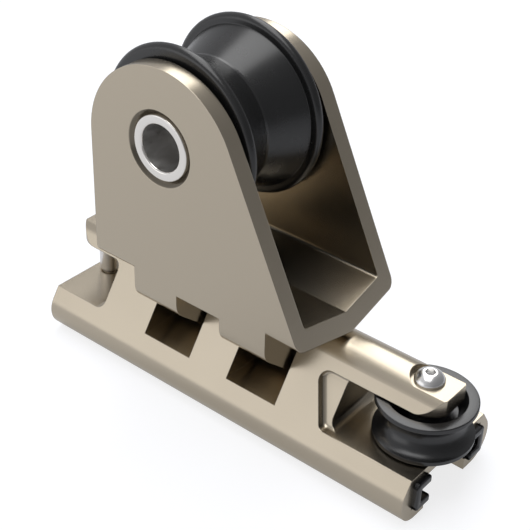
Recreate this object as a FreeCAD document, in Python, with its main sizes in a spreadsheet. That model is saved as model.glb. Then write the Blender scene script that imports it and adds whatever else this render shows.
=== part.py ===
import FreeCAD, Part
import math
import os

import Sketcher

# Towable genoa car for a 32 mm T-track, in millimetres.
# X runs along the track towards the towing sheave, Y across it, Z up.
# The origin is the middle of the T-slot's mouth, on the underside of the slider.

SIZES = {
    # slider section
    "slider_length": 150.0,
    "flank_margin": 13.0,
    "flank_lean": 33.6,
    "hinge_height": 30.0,
    "bottom_radius": 8.4,
    # T-slot and wear strips
    "mouth_width": 22.6,
    "lip_height": 4.35,
    "slot_roof": 13.6,
    "strip_outer": 37.0,
    "strip_height": 10.3,
    "strip_spine": 2.35,
    "strip_flange": 2.65,
    "strip_reach": 7.2,
    "strip_overhang": 1.8,
    "strip_edge": 0.7,
    "strip_play": 0.05,
    # notch, pocket and the two hinge slots
    "floor_thickness": 3.45,
    "tow_gap": 14.95,
    "notch_depth": 22.0,
    "pocket_depth": 32.45,
    "cutter_radius": 3.0,
    "end_share": 0.87,
    "slot_length": 20.05,
    "rear_slot_centre": -22.7,
    "front_slot_centre": 13.37,
    # shallow relief on each flank behind the pocket
    "relief_depth": 2.4,
    "relief_length": 10.5,
    "relief_lean": 25.8,
    "relief_corner": 3.3,
    "relief_foot_corner": 2.4,
    "relief_fillet": 1.5,
    # spot faces and pins of the slider's ends
    "face_drop": 1.89,
    "face_radius": 6.0,
    "becket_setback": 5.3,
    "becket_radius": 3.4,
    "becket_neck_radius": 2.8,
    "becket_neck_height": 0.65,
    "becket_depth": 2.4,
    "becket_recess": 0.3,
    "becket_edge": 0.4,
    "press_play": 0.02,
    # hinge
    "hinge_radius": 4.5,
    "hinge_play": 0.05,
    "hinge_cover": 4.2,
    "set_screw_radius": 5.0,
    "set_screw_length": 6.0,
    "set_screw_socket": 5.0,
    "bush_wall": 1.2,
    "washer_radius": 8.4,
    "washer_thickness": 1.2,
    "knuckle_radius": 11.2,
    "knuckle_length": 18.1,
    "knuckle_gap": 0.65,
    "knuckle_lean": 41.0,
    "knuckle_round": 7.0,
    # sheave bracket
    "bracket_width": 49.3,
    "cheek_thickness": 5.75,
    "bracket_rear": 48.95,
    "cheek_round": 29.2,
    "cheek_round_drop": 3.3,
    "front_lean": 26.0,
    "vee_gap": 1.36,
    "vee_lean": 9.0,
    "vee_thickness": 5.95,
    "vee_corner": 3.5,
    "vee_inner_corner": 1.5,
    "sill_rise": 2.28,
    # main sheave and axle
    "axle_setback": 0.55,
    "axle_rise": 63.3,
    "axle_radius": 10.6,
    "axle_bore": 7.6,
    "axle_recess": 0.3,
    "axle_edge": 0.5,
    "mouth_chamfer": 1.85,
    "sheave_radius": 29.8,
    "sheave_gap": 1.5,
    "bead_width": 3.5,
    "bead_round": 1.7,
    "cone_radius": 26.7,
    "throat_radius": 21.4,
    "throat_width": 1.0,
    "hub_radius": 17.0,
    "side_washer_thickness": 0.6,
    "side_washer_radius": 16.0,
    "side_play": 0.1,
    "main_bush_wall": 2.2,
    # towing sheave
    "tow_setback": 9.6,
    "tow_radius": 15.8,
    "groove_share": 0.811,
    "tow_flange": 1.5,
    "tow_recess_radius": 12.4,
    "tow_recess_floor": 9.8,
    "tow_web": 4.65,
    "tow_hub_radius": 6.9,
    "tow_edge": 0.4,
    "tow_sleeve_radius": 4.4,
    "tow_bush_wall": 1.3,
    "tow_washer_radius": 7.0,
    "tow_washer_thickness": 0.5,
    "tow_play": 0.05,
    "screw_radius": 2.5,
    "screw_play": 0.15,
    "screw_head_radius": 4.75,
    "screw_head_height": 2.95,
    "screw_crown_radius": 2.5,
    "screw_socket": 3.0,
    "screw_socket_depth": 1.6,
    "screw_tip_height": 14.0,
}

# An overshoot lets a cutting tool pass clear of the face it starts from.
OVERSHOOT = 1.0
# Points closer than this lie on the same face.
TOUCH = 1e-6
HEXAGON_SIDES = 6

doc = FreeCAD.newDocument("genoa_car")
sheet = doc.addObject("Spreadsheet::Sheet", "Sizes")
for row, (alias, size) in enumerate(SIZES.items(), start=1):
    sheet.set("A%d" % row, alias)
    sheet.set("B%d" % row, str(size))
    sheet.setAlias("B%d" % row, alias)
doc.recompute()


def size(name):
    """Return a size from the sheet."""
    return float(sheet.get(name))


def value(holder, expression):
    """Return what an expression over the sheet comes to."""
    result = holder.evalExpression(expression)
    return float(getattr(result, "Value", result))


def plane_of(body, role):
    """Return one of a body's own origin planes."""
    return [feature for feature in body.Origin.OriginFeatures if feature.Role == role][0]


def new_body(label):
    """Start a body whose label names its file."""
    body = doc.addObject("PartDesign::Body", label)
    body.Label = label
    return body


def new_sketch(body, name, role, lift=None):
    """Attach a sketch to a body's own origin plane, lifted along the plane's normal."""
    sketch = body.newObject("Sketcher::SketchObject", name)
    sketch.AttachmentSupport = [(plane_of(body, role), "")]
    sketch.MapMode = "FlatFace"
    if lift:
        sketch.setExpression("AttachmentOffset.Base.z", lift)
    doc.recompute()
    return sketch


def bind(sketch, kind, *where, to):
    """Add one dimension to a sketch and tie it to an expression."""
    number = sketch.addConstraint(Sketcher.Constraint(kind, *where, value(sketch, to)))
    sketch.setExpression("Constraints[%d]" % number, to)


def pin_point(sketch, geometry, end, across, along):
    """Place a point of a sketch by two expressions; None keeps it on that axis."""
    if across is None:
        sketch.addConstraint(Sketcher.Constraint("PointOnObject", geometry, end, -2))
    else:
        bind(sketch, "DistanceX", -1, 1, geometry, end, to=across)
    if along is None:
        sketch.addConstraint(Sketcher.Constraint("PointOnObject", geometry, end, -1))
    else:
        bind(sketch, "DistanceY", -1, 1, geometry, end, to=along)


def arc_between(start, end, radius, turn):
    """Return the arc of the given radius; turn is 1 anticlockwise, -1 clockwise."""
    chord = end - start
    reach = math.sqrt(max(radius ** 2 - (chord.Length / 2) ** 2, 0.0))
    sideways = FreeCAD.Vector(-chord.y, chord.x, 0).normalize() * turn
    centre = start + chord * 0.5 + sideways * reach
    first, last = (start, end) if turn > 0 else (end, start)
    angles = [math.atan2(point.y - centre.y, point.x - centre.x) for point in (first, last)]
    circle = Part.Circle(centre, FreeCAD.Vector(0, 0, 1), radius)
    return Part.ArcOfCircle(circle, angles[0], angles[1])


def add_profile(sketch, corners):
    """Draw a closed outline. A corner is (across, along), and (across, along, radius, turn)
    where an arc leads from it to the next corner."""
    points = []
    for corner in corners:
        place = [value(sketch, text) if text else 0.0 for text in corner[:2]]
        points.append(FreeCAD.Vector(place[0], place[1], 0))
    starts = []
    ends = []
    for number, corner in enumerate(corners):
        start = points[number]
        end = points[(number + 1) % len(points)]
        if len(corner) == 2:
            geometry = sketch.addGeometry(Part.LineSegment(start, end), False)
            starts.append((geometry, 1))
            ends.append((geometry, 2))
        else:
            radius = value(sketch, corner[2])
            geometry = sketch.addGeometry(arc_between(start, end, radius, corner[3]), False)
            starts.append((geometry, 1 if corner[3] > 0 else 2))
            ends.append((geometry, 2 if corner[3] > 0 else 1))
    for number, corner in enumerate(corners):
        following = (number + 1) % len(corners)
        joint = Sketcher.Constraint("Coincident", *ends[number], *starts[following])
        sketch.addConstraint(joint)
        pin_point(sketch, *starts[number], corner[0], corner[1])
        if len(corner) > 2:
            bind(sketch, "Radius", starts[number][0], to=corner[2])


def add_circle(sketch, across, along, radius):
    """Draw a circle whose centre and radius follow expressions."""
    centre = FreeCAD.Vector(
        value(sketch, across) if across else 0.0, value(sketch, along) if along else 0.0, 0
    )
    circle = Part.Circle(centre, FreeCAD.Vector(0, 0, 1), value(sketch, radius))
    geometry = sketch.addGeometry(circle, False)
    pin_point(sketch, geometry, 3, across, along)
    bind(sketch, "Radius", geometry, to=radius)


def pad(body, name, sketch, length, both_ways=False, backwards=False):
    """Add material from a sketch."""
    feature = body.newObject("PartDesign::Pad", name)
    feature.Profile = sketch
    feature.setExpression("Length", length)
    feature.Midplane = both_ways
    feature.Reversed = backwards
    doc.recompute()
    return feature


def pocket(body, name, sketch, length=None, both_ways=False, backwards=False):
    """Cut a sketch out of a body, right through where no length is given."""
    before = body.Shape.Volume
    feature = body.newObject("PartDesign::Pocket", name)
    feature.Profile = sketch
    if length:
        feature.setExpression("Length", length)
    else:
        feature.Type = "ThroughAll"
    feature.Midplane = both_ways
    feature.Reversed = backwards
    doc.recompute()
    if body.Shape.Volume >= before:
        raise RuntimeError("%s cuts nothing" % name)
    return feature


def revolve(body, name, sketch):
    """Turn a sketch about its own upright axis."""
    feature = body.newObject("PartDesign::Revolution", name)
    feature.Profile = sketch
    feature.ReferenceAxis = (sketch, ["V_Axis"])
    feature.Angle = 360.0
    doc.recompute()
    return feature


def edges_where(shape, test):
    """Return the names of the edges whose two ends and middle all pass a test."""
    names = []
    for number, edge in enumerate(shape.Edges, start=1):
        first, last = edge.ParameterRange
        points = [edge.valueAt(first), edge.valueAt((first + last) / 2), edge.valueAt(last)]
        if all(test(point) for point in points):
            names.append("Edge%d" % number)
    return names


def round_edges(body, name, names, radius, kind="PartDesign::Fillet", prop="Radius"):
    """Fillet or chamfer named edges of a body's latest feature."""
    base = body.Tip
    feature = body.newObject(kind, name)
    feature.Base = (base, names)
    feature.setExpression(prop, radius)
    doc.recompute()
    return feature


def stand(body, across=None, along=None, up=None):
    """Place a body by expressions."""
    for axis, expression in (("x", across), ("y", along), ("z", up)):
        if expression:
            body.setExpression("Placement.Base.%s" % axis, expression)


def lay_along(body, axis):
    """Turn a body made about Z so that its axis lies along X or Y."""
    turns = {
        "X": FreeCAD.Rotation(FreeCAD.Vector(0, 1, 0), 90),
        "Y": FreeCAD.Rotation(FreeCAD.Vector(1, 0, 0), -90),
    }
    body.Placement = FreeCAD.Placement(FreeCAD.Vector(), turns[axis])


def turned(label, corners, axis=None, across=None, along=None, up=None):
    """Make a turned piece from half its section: radius across, length along."""
    body = new_body(label)
    sketch = new_sketch(body, label + "_section", "XZ_Plane")
    add_profile(sketch, corners)
    revolve(body, label + "_turning", sketch)
    if axis:
        lay_along(body, axis)
    stand(body, across, along, up)
    doc.recompute()
    return body


def ring(label, inner, outer, length, axis=None, across=None, along=None, up=None):
    """Make a plain ring or bush that is centred on its length."""
    half = "(%s) / 2" % length
    corners = [(inner, "-" + half), (outer, "-" + half), (outer, half), (inner, half)]
    return turned(label, corners, axis, across, along, up)


def hexagon(sketch, across, along, flats):
    """Draw a socket hexagon from its width across flats."""
    corners = []
    for side in range(HEXAGON_SIDES):
        angle = 360.0 * side / HEXAGON_SIDES
        reach = "(%s) / (2 * cos(30))" % flats
        corners.append((
            "(%s) + %s * cos(%.1f)" % (across, reach, angle),
            "(%s) + %s * sin(%.1f)" % (along, reach, angle),
        ))
    add_profile(sketch, corners)


# Lengths that several pieces share, as expressions over the sheet
LENGTH = "Sizes.slider_length"
HALF_STRIP = "Sizes.strip_outer / 2"
# Half the width that the two flanks would have at the underside
FLANK_FOOT = "(%s + Sizes.flank_margin)" % HALF_STRIP
CROWN_RADIUS = (
    "((%s - Sizes.hinge_height * tan(Sizes.flank_lean)) * cos(Sizes.flank_lean))" % FLANK_FOOT
)
CORNER_PLACE = (
    "(%s - Sizes.bottom_radius * tan(Sizes.flank_lean)"
    " - Sizes.bottom_radius / cos(Sizes.flank_lean))" % FLANK_FOOT
)
FLOOR = "(Sizes.slot_roof + Sizes.floor_thickness)"
CEILING = "(%s + Sizes.tow_gap)" % FLOOR
CROWN_TOP = "(Sizes.hinge_height + %s)" % CROWN_RADIUS
FACE = "(%s - Sizes.face_drop)" % CROWN_TOP
FLANK_AT_CEILING = "(%s - %s * tan(Sizes.flank_lean))" % (FLANK_FOOT, CEILING)
NOTCH_WALL = "(Sizes.slider_length / 2 - Sizes.notch_depth)"
POCKET_WALL = "(Sizes.slider_length / 2 - Sizes.pocket_depth)"
BECKET_PLACE = "(Sizes.slider_length / 2 - Sizes.becket_setback)"
TOW_PLACE = "(Sizes.slider_length / 2 - Sizes.tow_setback)"
HINGE_END = "(%s - Sizes.hinge_cover)" % POCKET_WALL
HALF_MOUTH = "Sizes.mouth_width / 2"
STRIP_TOP = "(Sizes.lip_height + Sizes.strip_height)"
STRIP_TIP = "(Sizes.strip_outer / 2 - Sizes.strip_reach)"
HALF_CHEEKS = "Sizes.bracket_width / 2"
HALF_GAP = "(Sizes.bracket_width / 2 - Sizes.cheek_thickness)"
# The V floor clears the crown by the same gap at any tilt.
VEE_HEIGHT = (
    "(Sizes.hinge_height + (%s + Sizes.vee_gap) / cos(Sizes.vee_lean))" % CROWN_RADIUS
)
VEE_INSIDE = "(%s + Sizes.vee_thickness)" % VEE_HEIGHT
AXLE_HEIGHT = "(Sizes.hinge_height + Sizes.axle_rise)"
CHEEK_ROUND_HEIGHT = "(%s - Sizes.cheek_round_drop)" % AXLE_HEIGHT
VEE_FOOT = "(%s + %s * tan(Sizes.vee_lean))" % (VEE_HEIGHT, HALF_CHEEKS)
VEE_CORNER_BACK = "(Sizes.vee_corner * tan((90 - Sizes.vee_lean) / 2))"
# The lowest level of the cheeks' flat outer faces
CHEEK_FOOT = "(%s + %s)" % (VEE_FOOT, VEE_CORNER_BACK)
AXLE_PLACE = "(Sizes.cheek_round - Sizes.bracket_rear - Sizes.axle_setback)"
HINGE_BORE = "(Sizes.hinge_radius + Sizes.hinge_play)"
BUSH_OUTER = "(Sizes.hinge_radius + Sizes.hinge_play + Sizes.bush_wall)"
REAR_KNUCKLE = (
    "(Sizes.rear_slot_centre - Sizes.slot_length / 2 + Sizes.knuckle_gap"
    " + Sizes.knuckle_length / 2)"
)
FRONT_KNUCKLE = (
    "(Sizes.front_slot_centre - Sizes.slot_length / 2 + Sizes.knuckle_gap"
    " + Sizes.knuckle_length / 2)"
)
TOW_FOOT = "(%s + Sizes.tow_washer_thickness + Sizes.tow_play)" % FLOOR
TOW_TOP = "(%s - Sizes.tow_washer_thickness - Sizes.tow_play)" % CEILING
TOW_BUSH_INNER = "(Sizes.tow_sleeve_radius + Sizes.tow_play)"
TOW_BUSH_OUTER = "(%s + Sizes.tow_bush_wall)" % TOW_BUSH_INNER
MAIN_BUSH_INNER = "(Sizes.axle_radius + Sizes.hinge_play)"
MAIN_BUSH_OUTER = "(%s + Sizes.main_bush_wall)" % MAIN_BUSH_INNER
HALF_HUB = "(%s - Sizes.side_washer_thickness - 2 * Sizes.side_play)" % HALF_GAP


def make_slider_body():
    """The slider: one extrusion with its slots, notch, pocket and flank reliefs."""
    body = new_body("slider_body")
    section = new_sketch(body, "slider_section", "YZ_Plane")
    crown_side = CROWN_RADIUS + " * cos(Sizes.flank_lean)"
    crown_level = "Sizes.hinge_height + %s * sin(Sizes.flank_lean)" % CROWN_RADIUS
    corner_side = "%s + Sizes.bottom_radius * cos(Sizes.flank_lean)" % CORNER_PLACE
    corner_level = "Sizes.bottom_radius * (1 + sin(Sizes.flank_lean))"
    add_profile(section, [
        ("-" + CORNER_PLACE, None),
        (CORNER_PLACE, None, "Sizes.bottom_radius", 1),
        (corner_side, corner_level),
        (crown_side, crown_level, CROWN_RADIUS, 1),
        ("-" + crown_side, crown_level),
        ("-(%s)" % corner_side, corner_level, "Sizes.bottom_radius", 1),
    ])
    pad(body, "slider_extrusion", section, LENGTH, both_ways=True)
    make_reliefs(body)

    slot = new_sketch(body, "track_slot_section", "YZ_Plane")
    side = HALF_STRIP + " + Sizes.strip_play"
    lip = "Sizes.lip_height - Sizes.strip_play"
    top = STRIP_TOP + " + Sizes.strip_play"
    tip = STRIP_TIP + " - Sizes.strip_play"
    add_profile(slot, [
        ("-" + HALF_MOUTH, "-%s" % OVERSHOOT),
        (HALF_MOUTH, "-%s" % OVERSHOOT),
        (HALF_MOUTH, lip),
        (side, lip),
        (side, top),
        (tip, top),
        (tip, "Sizes.slot_roof"),
        ("-(%s)" % tip, "Sizes.slot_roof"),
        ("-(%s)" % tip, top),
        ("-(%s)" % side, top),
        ("-(%s)" % side, lip),
        ("-" + HALF_MOUTH, lip),
    ])
    pocket(body, "track_slot", slot, both_ways=True)

    make_cross_cuts(body)
    make_end_rounds(body)
    make_spot_faces(body)
    make_slider_holes(body)
    return body


def make_reliefs(body):
    """A shallow relief in each flank behind the pocket, its floor along the flank. The
    pocket, which is cut later, opens its front end."""
    relief = body.newObject("Sketcher::SketchObject", "flank_relief")
    relief.AttachmentSupport = [(plane_of(body, "XZ_Plane"), "")]
    relief.MapMode = "FlatFace"
    relief.AttachmentOffset = FreeCAD.Placement(
        FreeCAD.Vector(), FreeCAD.Rotation(FreeCAD.Vector(-1, 0, 0), size("flank_lean"))
    )
    relief.setExpression("AttachmentOffset.Rotation.Angle", "Sizes.flank_lean")
    relief.setExpression("AttachmentOffset.Base.z", FLANK_FOOT)
    doc.recompute()
    foot = FLOOR + " / cos(Sizes.flank_lean)"
    top = CEILING + " / cos(Sizes.flank_lean)"
    end = POCKET_WALL + " + 2 * Sizes.cutter_radius"
    lean = "Sizes.relief_lean"
    top_place = POCKET_WALL + " - Sizes.relief_length"
    foot_place = "%s + (%s - %s) * tan(%s)" % (top_place, top, foot, lean)
    setback = "Sizes.relief_corner * tan((90 + %s) / 2)" % lean
    foot_setback = "Sizes.relief_foot_corner * tan((90 - %s) / 2)" % lean
    add_profile(relief, [
        ("%s - (%s) * sin(%s)" % (foot_place, foot_setback, lean),
         "%s + (%s) * cos(%s)" % (foot, foot_setback, lean), "Sizes.relief_foot_corner", 1),
        ("%s + %s" % (foot_place, foot_setback), foot),
        (end, foot),
        (end, top),
        ("%s + %s" % (top_place, setback), top, "Sizes.relief_corner", 1),
        ("%s + (%s) * sin(%s)" % (top_place, setback, lean),
         "%s - (%s) * cos(%s)" % (top, setback, lean)),
    ])
    cut = body.newObject("PartDesign::Pocket", "flank_relief_cut")
    cut.Profile = relief
    cut.UseCustomVector = True
    cut.Direction = FreeCAD.Vector(0, 1, 0)
    cut.AlongSketchNormal = False
    cut.setExpression("Length", "Sizes.relief_depth / cos(Sizes.flank_lean)")
    before = body.Shape.Volume
    doc.recompute()
    if body.Shape.Volume >= before:
        raise RuntimeError("the flank relief cuts nothing")
    mirror = body.newObject("PartDesign::Mirrored", "far_relief")
    mirror.Originals = [cut]
    mirror.MirrorPlane = (plane_of(body, "XZ_Plane"), [""])
    body.Tip = mirror
    doc.recompute()
    slope = value(relief, "tan(Sizes.flank_lean)")
    foot_side = value(relief, FLANK_FOOT + " - Sizes.relief_depth / cos(Sizes.flank_lean)")
    front = value(relief, end)
    on_floor = edges_where(
        body.Shape, lambda point: abs(abs(point.y) + point.z * slope - foot_side) < TOUCH
    )
    at_front = edges_where(body.Shape, lambda point: abs(point.x - front) < TOUCH)
    names = [name for name in on_floor if name not in at_front]
    round_edges(body, "relief_fillets", names, "Sizes.relief_fillet")


def make_cross_cuts(body):
    """Notch, pocket and hinge slots, all milled across the slider."""
    cuts = new_sketch(body, "notch_and_pocket", "XZ_Plane")
    beyond = "(Sizes.slider_length / 2 + %s)" % OVERSHOOT
    for sign, wall in ((-1, NOTCH_WALL), (1, POCKET_WALL)):
        mark = "-" if sign < 0 else ""
        add_profile(cuts, [
            (mark + beyond, FLOOR),
            ("%s(%s + Sizes.cutter_radius)" % (mark, wall), FLOOR,
             "Sizes.cutter_radius", -sign),
            (mark + wall, FLOOR + " + Sizes.cutter_radius"),
            (mark + wall, CEILING + " - Sizes.cutter_radius",
             "Sizes.cutter_radius", -sign),
            ("%s(%s + Sizes.cutter_radius)" % (mark, wall), CEILING),
            (mark + beyond, CEILING),
        ])
    pocket(body, "notch_and_pocket_cut", cuts, both_ways=True)
    slots = new_sketch(body, "hinge_slots", "XZ_Plane")
    for centre in ("Sizes.rear_slot_centre", "Sizes.front_slot_centre"):
        start = centre + " - Sizes.slot_length / 2"
        end = centre + " + Sizes.slot_length / 2"
        top = "%s + %s" % (CROWN_TOP, OVERSHOOT)
        add_profile(slots, [
            (start, FLOOR),
            (end, FLOOR),
            (end, top),
            (start, top),
        ])
    pocket(body, "hinge_slot_cut", slots, both_ways=True)


def make_end_rounds(body):
    """Round the arm's and the lug's ends in plan, as wide as they are, with flat tips."""
    plan = new_sketch(body, "end_rounds", "XY_Plane", CEILING)
    side = FLANK_AT_CEILING
    centre = "(Sizes.slider_length / 2 - %s * Sizes.end_share)" % side
    tip = "(%s * sqrt(1 - Sizes.end_share * Sizes.end_share))" % side
    beyond = "(Sizes.slider_length / 2 + %s)" % OVERSHOOT
    for ahead in (-1, 1):
        for left in (-1, 1):
            along = "-" if ahead < 0 else ""
            across = "-" if left < 0 else ""
            add_profile(plan, [
                (along + centre, across + side, side, -ahead * left),
                ("%s(Sizes.slider_length / 2)" % along, across + tip),
                (along + beyond, across + tip),
                (along + beyond, "%s(%s + %s)" % (across, side, OVERSHOOT)),
                (along + centre, "%s(%s + %s)" % (across, side, OVERSHOOT)),
            ])
    pocket(body, "end_round_cut", plan, backwards=True)


def make_spot_faces(body):
    """Flats on top of the arm and the lug, each run out over the end."""
    rounds = new_sketch(body, "spot_faces", "XY_Plane", FACE)
    add_circle(rounds, "-" + BECKET_PLACE, None, "Sizes.face_radius")
    add_circle(rounds, TOW_PLACE, None, "Sizes.face_radius")
    pocket(body, "spot_face_cut", rounds, backwards=True)
    runs = new_sketch(body, "spot_face_runs", "XY_Plane", FACE)
    beyond = "(Sizes.slider_length / 2 + %s)" % OVERSHOOT
    for mark, place in (("-", BECKET_PLACE), ("", TOW_PLACE)):
        add_profile(runs, [
            (mark + place, "-Sizes.face_radius"),
            (mark + beyond, "-Sizes.face_radius"),
            (mark + beyond, "Sizes.face_radius"),
            (mark + place, "Sizes.face_radius"),
        ])
    pocket(body, "spot_face_run_cut", runs, backwards=True)


def make_slider_holes(body):
    """Bores for the becket pin, the towing screw, the hinge pin and its set screw."""
    lug = new_sketch(body, "lug_hole", "XY_Plane", CEILING)
    add_circle(lug, "-" + BECKET_PLACE, None, "Sizes.becket_radius + Sizes.press_play")
    pocket(body, "lug_bore", lug, backwards=True)
    foot = new_sketch(body, "becket_seat", "XY_Plane", FLOOR)
    add_circle(foot, "-" + BECKET_PLACE, None, "Sizes.becket_neck_radius + Sizes.press_play")
    pocket(body, "becket_seat_bore", foot, "Sizes.becket_depth")
    arm = new_sketch(body, "arm_hole", "XY_Plane", CEILING)
    add_circle(arm, TOW_PLACE, None, "Sizes.screw_radius + Sizes.screw_play")
    pocket(body, "arm_bore", arm, backwards=True)
    thread = new_sketch(body, "screw_thread", "XY_Plane", FLOOR)
    add_circle(thread, TOW_PLACE, None, "Sizes.screw_radius + Sizes.press_play")
    pocket(body, "screw_thread_bore", thread)
    pin = new_sketch(body, "hinge_hole", "YZ_Plane", HINGE_END)
    add_circle(pin, None, "Sizes.hinge_height", "Sizes.hinge_radius + Sizes.press_play")
    pocket(body, "hinge_bore", pin)
    plug = new_sketch(body, "set_screw_hole", "YZ_Plane",
                      "Sizes.set_screw_length - " + NOTCH_WALL)
    add_circle(plug, None, "Sizes.hinge_height", "Sizes.set_screw_radius + Sizes.press_play")
    pocket(body, "set_screw_bore", plug)


def make_wear_strip(label, side):
    """A plastic C-section strip that stands out a little at both ends."""
    body = new_body(label)
    section = new_sketch(body, label + "_section", "YZ_Plane")
    mark = "-" if side < 0 else ""
    spine = "(%s - Sizes.strip_spine)" % HALF_STRIP
    lower = "Sizes.lip_height + Sizes.strip_flange"
    upper = STRIP_TOP + " - Sizes.strip_flange"
    add_profile(section, [
        ("%s(%s)" % (mark, HALF_STRIP), "Sizes.lip_height"),
        ("%s(%s)" % (mark, HALF_STRIP), STRIP_TOP),
        (mark + STRIP_TIP, STRIP_TOP),
        (mark + STRIP_TIP, upper),
        (mark + spine, upper),
        (mark + spine, lower),
        (mark + STRIP_TIP, lower),
        (mark + STRIP_TIP, "Sizes.lip_height"),
    ])
    pad(body, label + "_extrusion", section, LENGTH + " + 2 * Sizes.strip_overhang",
        both_ways=True)
    end = size("slider_length") / 2 + size("strip_overhang")
    names = edges_where(body.Shape, lambda point: abs(abs(point.x) - end) < TOUCH)
    round_edges(body, label + "_ends", names, "Sizes.strip_edge")
    return body


def make_bracket():
    """The sheave bracket: two cheeks on a V floor, with two hinge knuckles."""
    body = new_body("sheave_bracket")
    section = new_sketch(body, "bracket_section", "YZ_Plane")
    top = "(%s + Sizes.cheek_round + %s)" % (CHEEK_ROUND_HEIGHT, OVERSHOOT)
    rise = "tan(Sizes.vee_lean)"
    corner = "(%s - %s)"
    inner_foot = "(%s + %s * %s)" % (VEE_INSIDE, HALF_GAP, rise)
    inner_back = "(Sizes.vee_inner_corner * tan((90 - Sizes.vee_lean) / 2))"
    half = [
        (None, VEE_HEIGHT),
        (
            corner % (HALF_CHEEKS, VEE_CORNER_BACK + " * cos(Sizes.vee_lean)"),
            corner % (VEE_FOOT, VEE_CORNER_BACK + " * sin(Sizes.vee_lean)"),
            "Sizes.vee_corner", 1,
        ),
        (HALF_CHEEKS, CHEEK_FOOT),
        (HALF_CHEEKS, top),
        (HALF_GAP, top),
        (HALF_GAP, "%s + %s" % (inner_foot, inner_back), "Sizes.vee_inner_corner", -1),
        (
            corner % (HALF_GAP, inner_back + " * cos(Sizes.vee_lean)"),
            corner % (inner_foot, inner_back + " * sin(Sizes.vee_lean)"),
        ),
    ]
    other = [
        (
            "-" + corner % (HALF_GAP, inner_back + " * cos(Sizes.vee_lean)"),
            corner % (inner_foot, inner_back + " * sin(Sizes.vee_lean)"),
            "Sizes.vee_inner_corner", -1,
        ),
        ("-" + HALF_GAP, "%s + %s" % (inner_foot, inner_back)),
        ("-" + HALF_GAP, top),
        ("-" + HALF_CHEEKS, top),
        ("-" + HALF_CHEEKS, CHEEK_FOOT, "Sizes.vee_corner", 1),
        (
            "-" + corner % (HALF_CHEEKS, VEE_CORNER_BACK + " * cos(Sizes.vee_lean)"),
            corner % (VEE_FOOT, VEE_CORNER_BACK + " * sin(Sizes.vee_lean)"),
        ),
    ]
    add_profile(section, half + [(None, VEE_INSIDE)] + other)
    pad(body, "bracket_extrusion", section, "2 * Sizes.bracket_rear", both_ways=True)
    make_knuckles(body)
    make_side_profile(body)
    make_bracket_holes(body)
    return body


def make_knuckles(body):
    """Two knuckles around the hinge pin and the deeper sill between them."""
    lean = "Sizes.knuckle_lean"
    bottom_side = "(Sizes.knuckle_radius * sin(%s))" % lean
    bottom_level = "(Sizes.hinge_height - Sizes.knuckle_radius * cos(%s))" % lean
    meet = "(Sizes.hinge_height + (%s) * tan(%s) - Sizes.knuckle_radius / cos(%s))" % (
        HALF_CHEEKS, lean, lean
    )
    back = "(Sizes.knuckle_round * tan((90 - %s) / 2))" % lean
    web_middle = "(%s + Sizes.vee_thickness / 2)" % VEE_HEIGHT
    sill_edge = "(%s + Sizes.sill_rise)" % VEE_HEIGHT
    knuckles = (("rear_knuckle", REAR_KNUCKLE), ("front_knuckle", FRONT_KNUCKLE))
    for name, centre in knuckles:
        section = new_sketch(body, name + "_section", "YZ_Plane",
                             "%s - Sizes.knuckle_length / 2" % centre)
        add_profile(section, [
            (bottom_side, bottom_level),
            ("(%s - %s * cos(%s))" % (HALF_CHEEKS, back, lean),
             "(%s - %s * sin(%s))" % (meet, back, lean), "Sizes.knuckle_round", 1),
            (HALF_CHEEKS, "%s + %s" % (meet, back)),
            (HALF_CHEEKS, CHEEK_FOOT),
            (None, web_middle),
            ("-" + HALF_CHEEKS, CHEEK_FOOT),
            ("-" + HALF_CHEEKS, "%s + %s" % (meet, back), "Sizes.knuckle_round", 1),
            ("-(%s - %s * cos(%s))" % (HALF_CHEEKS, back, lean),
             "(%s - %s * sin(%s))" % (meet, back, lean)),
            ("-" + bottom_side, bottom_level, "Sizes.knuckle_radius", 1),
        ])
        pad(body, name, section, "Sizes.knuckle_length")
    sill = new_sketch(body, "sill_section", "YZ_Plane", REAR_KNUCKLE)
    add_profile(sill, [
        (None, VEE_HEIGHT),
        (HALF_CHEEKS, sill_edge),
        (HALF_CHEEKS, CHEEK_FOOT),
        (None, web_middle),
        ("-" + HALF_CHEEKS, CHEEK_FOOT),
        ("-" + HALF_CHEEKS, sill_edge),
    ])
    pad(body, "sill", sill, "%s - %s" % (FRONT_KNUCKLE, REAR_KNUCKLE))


def make_side_profile(body):
    """Trim the cheeks to their side outline: round top, upright rear, leaning front."""
    trim = new_sketch(body, "side_outline", "XZ_Plane")
    centre = "(Sizes.cheek_round - Sizes.bracket_rear)"
    lean = "Sizes.front_lean"
    touch_x = "(%s + Sizes.cheek_round * cos(%s))" % (centre, lean)
    touch_z = "(%s + Sizes.cheek_round * sin(%s))" % (CHEEK_ROUND_HEIGHT, lean)
    low = "(Sizes.hinge_height - Sizes.knuckle_radius - %s)" % OVERSHOOT
    foot_x = "(%s + (%s - %s) * tan(%s))" % (touch_x, touch_z, low, lean)
    far = "(2 * Sizes.bracket_rear)"
    high = "(%s + Sizes.cheek_round + 2 * %s)" % (CHEEK_ROUND_HEIGHT, OVERSHOOT)
    under = "(%s - %s)" % (low, OVERSHOOT)
    add_profile(trim, [
        ("-" + far, under),
        (far, under),
        (far, high),
        ("-" + far, high),
    ])
    add_profile(trim, [
        ("-Sizes.bracket_rear", low),
        (foot_x, low),
        (touch_x, touch_z, "Sizes.cheek_round", 1),
        ("-Sizes.bracket_rear", CHEEK_ROUND_HEIGHT),
    ])
    pocket(body, "side_trim", trim, both_ways=True)


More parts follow.
